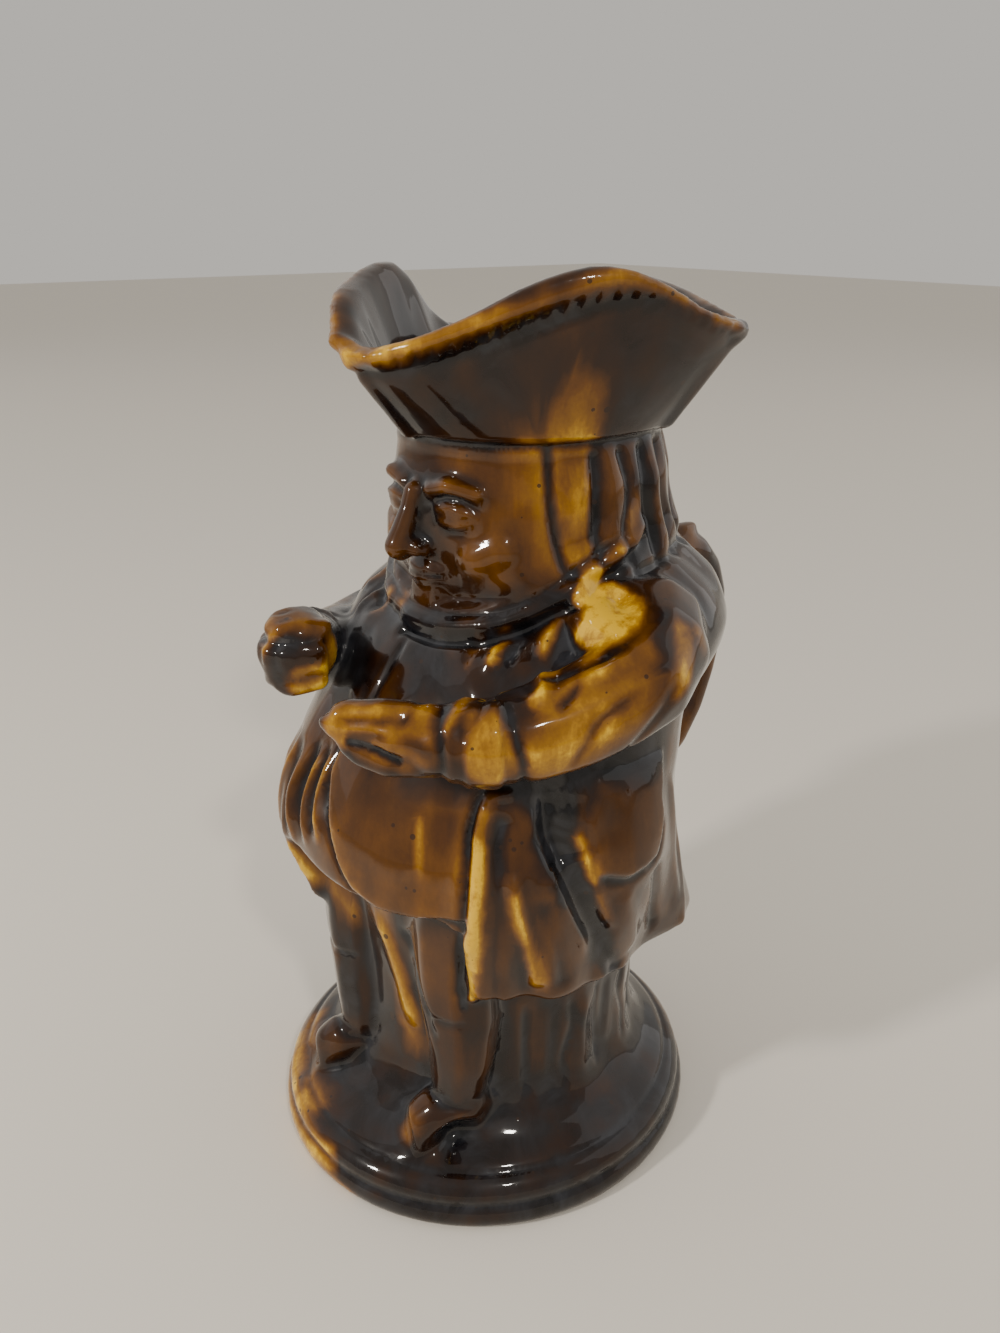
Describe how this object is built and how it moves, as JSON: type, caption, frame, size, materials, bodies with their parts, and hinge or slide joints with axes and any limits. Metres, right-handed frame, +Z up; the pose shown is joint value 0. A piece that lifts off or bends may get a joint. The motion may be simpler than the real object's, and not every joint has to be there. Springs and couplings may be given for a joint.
{
  "type": "figural jug",
  "caption": "Hollow glazed earthenware jug shaped as a standing man in a long coat and cocked hat, which is its pouring mouth, with a loop handle behind.",
  "frame": {"origin": "centre of the flat underside of the foot, on the surface that the jug stands on", "axes": "+Z up, the figure faces -Y, its left side is +X and the handle is on the +Y side"},
  "size_m": [0.1345, 0.1653, 0.2499],
  "materials": {
    "treacle_glaze": "gloss"
  },
  "bodies": {
    "root": {"toby_jug": "treacle_glaze"}
  },
  "joints": []
}
